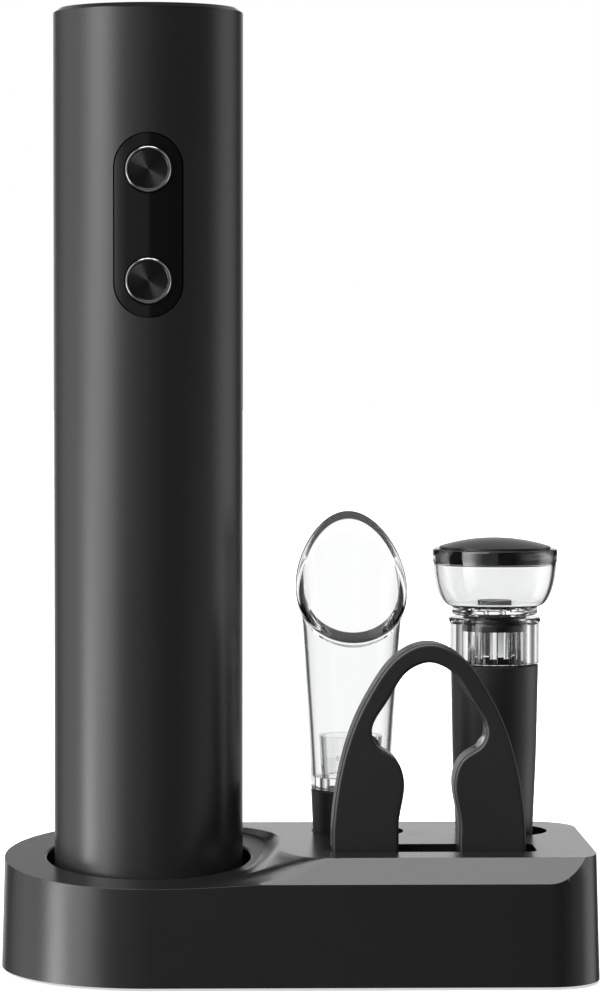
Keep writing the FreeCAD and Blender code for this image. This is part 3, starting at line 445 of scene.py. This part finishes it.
def clean(piece):
    """Merges what a bevel squeezed together."""
    activate(piece)
    bpy.ops.object.mode_set(mode="EDIT")
    bpy.ops.mesh.select_mode(type="VERT")
    bpy.ops.mesh.select_all(action="SELECT")
    bpy.ops.mesh.remove_doubles(threshold=0.004 * mm)
    bpy.ops.mesh.dissolve_degenerate(threshold=0.003 * mm)
    bpy.ops.object.mode_set(mode="OBJECT")


def ring_loft(name, rings, segments=96):
    """A closed shell drawn ring by ring: each ring is (radius, height, tilt about X).

    The first circle is extruded to each ring in turn and the last one joins the first.
    """
    x, y = rings_centre[name]
    radius, height, tilt = rings[0]
    bpy.ops.mesh.primitive_circle_add(vertices=segments, radius=radius, location=(x, y, height))
    piece = bpy.context.object
    piece.name = name
    bpy.ops.object.mode_set(mode="EDIT")
    bpy.ops.mesh.select_mode(type="VERT")
    bpy.ops.mesh.select_all(action="SELECT")
    for next_radius, next_height, next_tilt in rings[1:]:
        bpy.ops.mesh.extrude_region_move(
            TRANSFORM_OT_translate={"value": (0, 0, next_height - height)})
        centre = (x, y, next_height)
        if tilt:
            bpy.ops.transform.rotate(value=math.radians(tilt), orient_axis="X", center_override=centre)
        squeeze = math.cos(math.radians(tilt)) / math.cos(math.radians(next_tilt))
        grow = next_radius / radius
        bpy.ops.transform.resize(value=(grow, grow * squeeze, 1.0), center_override=centre)
        if next_tilt:
            bpy.ops.transform.rotate(value=-math.radians(next_tilt), orient_axis="X",
                                     center_override=centre)
        radius, height, tilt = next_radius, next_height, next_tilt
    bpy.ops.mesh.select_all(action="SELECT")
    bpy.ops.mesh.remove_doubles(threshold=0.003 * mm)
    bpy.ops.mesh.normals_make_consistent(inside=False)
    bpy.ops.object.mode_set(mode="OBJECT")
    return piece


rings_centre = {
    "clear_spout": (pourer_axis.x, pourer_axis.y),
    "clear_knob": (stopper_axis.x, stopper_axis.y),
    "piston_disc": (stopper_axis.x, stopper_axis.y),
}


def flat_rings(points):
    """Untilted rings from points (radius, height)."""
    return [(r, z, 0.0) for r, z in points]


# ---- operators --------------------------------------------------------------------------
class WINESET_OT_stage(bpy.types.Operator):
    """Build the floor, the lights, the backdrop light and the camera"""
    bl_idname = "wineset.stage"
    bl_label = "Studio"

    def execute(self, context):
        self.floor()
        self.world(context)
        self.camera(context)
        return {"FINISHED"}

    def floor(self):
        """A pale sheet under the set, left out of its reflections and its shading."""
        bpy.ops.mesh.primitive_plane_add(size=12.0, location=(0, 0, 0))
        floor = bpy.context.object
        floor.name = "studio_floor"
        recipe = Recipe("studio_paper")
        paper = recipe.noise(40.0, 2.0)
        recipe.put("Base Color", (0.82, 0.82, 0.82, 1.0))
        recipe.put("Roughness", paper * 0.05 + 0.9)
        recipe.put("Specular IOR Level", 0.0)
        recipe.put("Emission Color", (1.0, 1.0, 1.0, 1.0))
        recipe.put("Emission Strength", floor_glow)
        floor.data.materials.append(recipe.material)
        floor.visible_glossy = False
        floor.visible_diffuse = False
        floor.visible_transmission = False
        floor.visible_shadow = False

    def world(self, context):
        """A white room for the eye, with soft boxes that only reflections and light see."""
        world = bpy.data.worlds.new("studio_room")
        room = Tree(world)
        facing = room.node("TexCoord", output="Generated")
        x = room.node("SeparateXYZ", {}, {0: facing}, output=0)
        y = room.node("SeparateXYZ", {}, {0: facing}, output=1)
        z = room.node("SeparateXYZ", {}, {0: facing}, output=2)
        turn = room.node("Math", {"operation": "ARCTAN2"}, {0: x, 1: y * -1.0}) * (180 / math.pi)
        rise = room.node("Math", {"operation": "ARCSINE"}, {0: z}) * (180 / math.pi)
        aside = room.node("Math", {"operation": "ABSOLUTE"}, {0: turn})

        def band(value, rise_from, rise_to, fall_from, fall_to):
            return room.ramp(value, rise_from, rise_to) * room.ramp(value, fall_to, fall_from)

        def patch(toward, inside, outside):
            """A round soft box about a direction, with its angles in degrees."""
            near = room.node("VectorMath", {"operation": "DOT_PRODUCT"},
                             {0: facing, 1: tuple(Vector(toward).normalized())}, output="Value")
            return room.ramp(near, math.cos(math.radians(outside)), math.cos(math.radians(inside)))

        glow = room.ramp(turn, 4.0, -2.0) * room.ramp(aside, 60.0, 40.0) * front_strength
        for turns, rises, strength in soft_boxes:
            glow = glow + band(turn, *turns) * band(rise, *rises) * strength
        behind = room.ramp(aside, 152.0, 162.0)
        for rises, strength in back_bands:
            glow = glow + behind * band(rise, *rises) * strength
        for toward, inside, outside, strength in round_boxes:
            glow = glow + patch(toward, inside, outside) * strength
        glow = glow + room_strength
        seen = room.node("LightPath", output="Is Camera Ray")
        room.feed(room.tree.nodes["Background"].inputs["Strength"], glow * (1.0 - seen) + seen)
        room.tree.nodes["Background"].inputs["Color"].default_value = (1.0, 1.0, 1.0, 1.0)
        context.scene.world = world
        context.scene.view_settings.view_transform = "Standard"

    def camera(self, context):
        data = bpy.data.cameras.new("studio_camera")
        camera = bpy.data.objects.new("studio_camera", data)
        context.collection.objects.link(camera)
        data.sensor_width = camera_sensor
        data.lens = camera_lens
        data.shift_x = camera_shift
        data.clip_start = 0.01
        data.clip_end = 50.0
        camera.location = (opener_axis.x, -camera_back, camera_height)
        camera.rotation_euler = (math.radians(90.0 - camera_dip), 0.0, math.radians(camera_swing))
        context.scene.camera = camera


class WINESET_OT_stand(bpy.types.Operator):
    """Finish the stand: rounded moulded shell, cover, feet, screws, pad and liner"""
    bl_idname = "wineset.stand"
    bl_label = "Stand"

    def execute(self, context):
        casing = context.scene.wineset_casing
        shell_finish = moulded_plastic("stand_plastic", casing.stand, casing.stand_roughness,
                                       grain=0.000024)
        shell = node_copy("stand_shell", "moulded_stand")
        modify(shell, "BEVEL", width=casing.edge_round, segments=3, limit_method="ANGLE",
               angle_limit=math.radians(38))
        clean(shell)
        settle(shell)
        modify(shell, "WEIGHTED_NORMAL", keep_sharp=True, weight=90)
        finish_piece(shell, "stand", shell_finish, ["stand_shell"])
        dress(moulded_plastic("cover_plastic", casing.stand, 0.45), "stand_bottom_cover")
        dress(soft_rubber("foot_rubber", (0.02, 0.02, 0.02), 0.6), "stand_feet", "well_pad",
              "well_liner")
        dress(bright_metal("stand_screw_steel", (0.55, 0.55, 0.56), 0.3), "stand_screws")
        return {"FINISHED"}


class WINESET_OT_casing(bpy.types.Operator):
    """Finish the opener's tube, cap, mouth, panel and port"""
    bl_idname = "wineset.casing"
    bl_label = "Opener casing"

    def execute(self, context):
        casing = context.scene.wineset_casing
        dress(anodised_aluminium("anodised_tube", casing.tube, casing.tube_roughness), "opener_tube")
        dress(polished_black("polished_cap", casing.tube, 0.14), "opener_top_cap")
        dress(moulded_plastic("guide_plastic", (0.015, 0.015, 0.016), 0.38), "bottle_guide",
              "cork_chamber", "chassis_front", "chassis_rear")
        panel = node_copy("button_panel", "glossy_panel")
        modify(panel, "BEVEL", width=casing.panel_round, segments=3, limit_method="ANGLE",
               angle_limit=math.radians(50))
        clean(panel)
        settle(panel)
        modify(panel, "WEIGHTED_NORMAL", keep_sharp=True, weight=90)
        finish_piece(panel, "opener", polished_black("panel_gloss", casing.panel),
                     ["button_panel"])
        dress(bright_metal("port_steel", (0.6, 0.6, 0.61), 0.28), "usb_port")
        return {"FINISHED"}


class WINESET_OT_buttons(bpy.types.Operator):
    """Finish the two spun metal buttons"""
    bl_idname = "wineset.buttons"
    bl_label = "Buttons"

    def execute(self, context):
        for name in ("up_button", "down_button"):
            dress(spun_button(name + "_metal", middle(name)), name)
        return {"FINISHED"}


class WINESET_OT_drive(bpy.types.Operator):
    """Finish the motor, gears, worm, battery and boards"""
    bl_idname = "wineset.drive"
    bl_label = "Drive"

    def execute(self, context):
        planets = [f"{stage}_planet_{count}" for stage in ("output", "first") for count in (1, 2, 3)]
        dress(moulded_plastic("gear_acetal", (0.62, 0.61, 0.56), 0.4, 0.000006), "gear_ring_housing",
              "motor_end_bell", "worm_holder", *planets)
        dress(bright_metal("turned_steel", (0.6, 0.6, 0.61), 0.3, (1.0, 1.0, 8.0)), "gear_bulkhead",
              "gearbox_screws", "chassis_screws", "battery_tabs", "output_carrier", "first_carrier",
              "motor_rotor", "motor_can")
        dress(bright_metal("sintered_bronze", (0.55, 0.38, 0.18), 0.4), "spindle_bush", "motor_pinion")
        dress(bright_metal("polished_worm", (0.78, 0.78, 0.79), 0.14, depth=0.000002), "corkscrew_worm")
        dress(moulded_plastic("magnet_ferrite", (0.05, 0.05, 0.052), 0.6), "motor_magnets")
        dress(circuit_board("board_mask"), "control_board", "charge_board")
        dress(moulded_plastic("switch_plastic", (0.02, 0.02, 0.02), 0.4), "tact_switches")
        dress(cell_wrap("cell_sleeve"), "battery_cell")
        return {"FINISHED"}


class WINESET_OT_pourer(bpy.types.Operator):
    """Model the aerating pourer's clear spout and finish its funnel and plug"""
    bl_idname = "wineset.pourer"
    bl_label = "Pourer"

    def execute(self, context):
        finish = context.scene.wineset_accessories
        wall = finish.spout_wall
        lip = finish.spout_lip
        mouth = plug_top + mouth_height
        slant = mouth_slant
        outer = [(10.1 * mm, plug_top, 0.0), (10.15 * mm, plug_top + 3 * mm, 0.0),
                 (10.5 * mm, plug_top + 10 * mm, 2.0), (11.1 * mm, plug_top + 20 * mm, 9.0),
                 (11.7 * mm, plug_top + 30 * mm, 19.0), (12.15 * mm, plug_top + 39 * mm, 31.0),
                 (12.55 * mm, plug_top + 46 * mm, 41.0), (13.1 * mm, mouth - 3.2 * mm, 46.0),
                 (lip - 0.3 * mm, mouth - 2.0 * mm, slant), (lip, mouth - 1.1 * mm, slant),
                 (lip, mouth - 0.25 * mm, slant), (lip - 0.12 * mm, mouth, slant),
                 (lip - 1.8 * mm, mouth, slant), (lip - 1.98 * mm, mouth - 0.3 * mm, slant),
                 (lip - 1.9 * mm, mouth - 1.2 * mm, slant)]
        inner = [(radius - wall, height, tilt) for radius, height, tilt in reversed(outer[1:8])]
        inner[-1] = (inner[-1][0], plug_top + 3 * mm, 0.0)
        foot = [(6.2 * mm, plug_top + 3 * mm, 0.0), (6.2 * mm, plug_top, 0.0), outer[0]]
        spout = ring_loft("clear_spout", outer + inner + foot)
        self.narrow_the_back(spout)
        settle(spout, 40.0)
        clear = clear_plastic("clear_acrylic_spout", finish.clear, gloss=spout_gloss)
        finish_piece(spout, "pourer", clear, ["pourer_spout"])
        dress(clear_plastic("clear_acrylic_funnel", finish.clear), "pourer_air_tube")
        dress(soft_rubber("plug_rubber", finish.rubber), "pourer_plug")
        return {"FINISHED"}

    def narrow_the_back(self, spout):
        """Tapers the flared part towards its back, which leaves the lip egg-shaped."""
        upper = spout.vertex_groups.new(name="flare")
        start = plug_top + 12 * mm
        full = plug_top + 46 * mm
        for vertex in spout.data.vertices:
            height = (spout.matrix_world @ vertex.co).z
            weight = min(1.0, max(0.0, (height - start) / (full - start)))
            upper.add([vertex.index], weight * weight * (3 - 2 * weight), "REPLACE")
        modify(spout, "SIMPLE_DEFORM", deform_method="TAPER", deform_axis="Y", lock_z=True,
               factor=back_taper, vertex_group="flare")


class WINESET_OT_stopper(bpy.types.Operator):
    """Model the vacuum stopper's knob and finish its pump and sleeve"""
    bl_idname = "wineset.stopper"
    bl_label = "Vacuum stopper"

    def execute(self, context):
        finish = context.scene.wineset_accessories
        clear = clear_plastic("clear_acrylic_pump", finish.clear)
        self.knob(finish, clear)
        self.piston(clear)
        dress(clear, "pump_barrel")
        dress(soft_rubber("sleeve_rubber", finish.rubber), "stopper_sleeve", "check_valve",
              "piston_seal", "pump_gland")
        dress(moulded_plastic("nut_grey", (0.2, 0.2, 0.2), 0.35), "pump_nut")
        dress(polished_black("band_gloss", (0.008, 0.008, 0.008), 0.12), "pump_ring")
        dress(moulded_plastic("cap_satin", (0.006, 0.006, 0.0062), 0.3), "pump_cap")
        return {"FINISHED"}

    def knob(self, finish, clear):
        wall = finish.bowl_wall
        low = bowl_low[2]
        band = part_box("pump_ring")[0][2]
        top = bowl_high[2]
        rim = bowl_high[0] - stopper_axis.x
        belly = rim - 0.25 * mm
        outer = []
        for step in range(13):
            angle = math.radians(90.0 * step / 12)
            outer.append((10.9 * mm + (belly - 10.9 * mm) * math.sin(angle),
                          low + (band - low) * (1 - math.cos(angle))))
        inner = [(r - wall, z) for r, z in reversed(outer[3:])]
        lip = [(rim, band + 0.5 * mm), (rim, top - 0.45 * mm), (rim - 0.12 * mm, top - 0.12 * mm),
               (rim - 0.45 * mm, top), (rim - 0.72 * mm, top - 0.1 * mm),
               (rim - 0.78 * mm, top - 0.3 * mm), (rim - 0.78 * mm, band)]
        floor = [(8.8 * mm, low + 1.2 * mm), (4.5 * mm, low + 0.9 * mm), (4.4 * mm, low + 0.05 * mm)]
        knob = ring_loft("clear_knob", flat_rings(outer + lip + inner + floor + outer[:1]))
        settle(knob, 40.0)
        finish_piece(knob, "pump_knob", clear, ["pump_bowl"])

    def piston(self, clear):
        """The fluted clear rod: ribs drawn out of a plain one, and its disc and foot."""
        low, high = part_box("pump_piston")
        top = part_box("pump_gland")[0][2] + 2.0 * mm
        place = (stopper_axis.x, stopper_axis.y, (low[2] + top) / 2)
        bpy.ops.mesh.primitive_cylinder_add(vertices=2 * rib_count, radius=rod_radius,
                                            depth=top - low[2], location=place)
        rod = bpy.context.object
        rod.name = "fluted_piston"
        bpy.ops.object.mode_set(mode="EDIT")
        bpy.ops.mesh.select_mode(type="FACE")
        bpy.ops.mesh.select_all(action="DESELECT")
        bpy.ops.object.mode_set(mode="OBJECT")
        for face in rod.data.polygons:
            if abs(face.normal.z) < 0.5:
                turn = math.degrees(math.atan2(face.normal.y, face.normal.x)) % 360
                side = int(round((turn - 90 / rib_count) / (180 / rib_count)))
                face.select = side % 2 == 0
        bpy.ops.object.mode_set(mode="EDIT")
        bpy.ops.mesh.extrude_faces_move(TRANSFORM_OT_shrink_fatten={"value": rib_height})
        bpy.ops.object.mode_set(mode="OBJECT")
        modify(rod, "BEVEL", width=rib_bevel, segments=2, limit_method="ANGLE",
               angle_limit=math.radians(40))
        settle(rod)
        finish_piece(rod, "pump_knob", clear, ["pump_piston"])
        disc_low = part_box("pump_barrel")[1][2] + 0.75 * mm
        rim = high[0] - stopper_axis.x
        edge = 0.3 * mm
        rings = [(6.0 * mm, disc_low), (rim - edge, disc_low), (rim, disc_low + edge),
                 (rim, high[2] - edge), (rim - edge, high[2]), (4.6 * mm, high[2]),
                 (4.6 * mm, high[2] - 1.0 * mm), (2.0 * mm, high[2] - 1.0 * mm),
                 (2.0 * mm, disc_low + edge), (6.0 * mm, disc_low + edge), (6.0 * mm, disc_low)]
        disc = ring_loft("piston_disc", flat_rings(rings))
        settle(disc, 40.0)
        finish_piece(disc, "pump_knob", clear, ["pump_piston"])


class WINESET_OT_cutter(bpy.types.Operator):
    """Finish the foil cutter's arch, wheels and axles"""
    bl_idname = "wineset.cutter"
    bl_label = "Foil cutter"

    def execute(self, context):
        casing = context.scene.wineset_casing
        dress(moulded_plastic("cutter_plastic", casing.cutter, 0.4), "cutter_frame")
        dress(bright_metal("wheel_ground", (0.7, 0.7, 0.71), 0.2), "cutter_wheel_left",
              "cutter_wheel_right")
        dress(bright_metal("axle_steel", (0.6, 0.6, 0.61), 0.3), "cutter_axles")
        return {"FINISHED"}


class WINESET_PT_panel(bpy.types.Panel):
    """Lists the steps that finish the set"""
    bl_idname = "WINESET_PT_panel"
    bl_label = "Wine Opener Set"
    bl_space_type = "VIEW_3D"
    bl_region_type = "UI"
    bl_category = "Wine Opener"

    def draw(self, context):
        for group in ("wineset_casing", "wineset_accessories"):
            settings = getattr(context.scene, group)
            for key in settings.bl_rna.properties.keys():
                if key not in ("rna_type", "name"):
                    self.layout.prop(settings, key)
        for step in steps:
            self.layout.operator(step.bl_idname)


steps = (WINESET_OT_stage, WINESET_OT_stand, WINESET_OT_casing, WINESET_OT_buttons,
         WINESET_OT_drive, WINESET_OT_pourer, WINESET_OT_stopper, WINESET_OT_cutter)
classes = (CasingFinish, AccessoryFinish) + steps + (WINESET_PT_panel,)


def register():
    for one in classes:
        bpy.utils.register_class(one)
    bpy.types.Scene.wineset_casing = bpy.props.PointerProperty(type=CasingFinish)
    bpy.types.Scene.wineset_accessories = bpy.props.PointerProperty(type=AccessoryFinish)


def unregister():
    del bpy.types.Scene.wineset_accessories
    del bpy.types.Scene.wineset_casing
    for one in reversed(classes):
        bpy.utils.unregister_class(one)


def main():
    register()
    deselect()
    for step in steps:
        group, name = step.bl_idname.split(".")
        getattr(getattr(bpy.ops, group), name)()


if __name__ == "__main__":
    main()
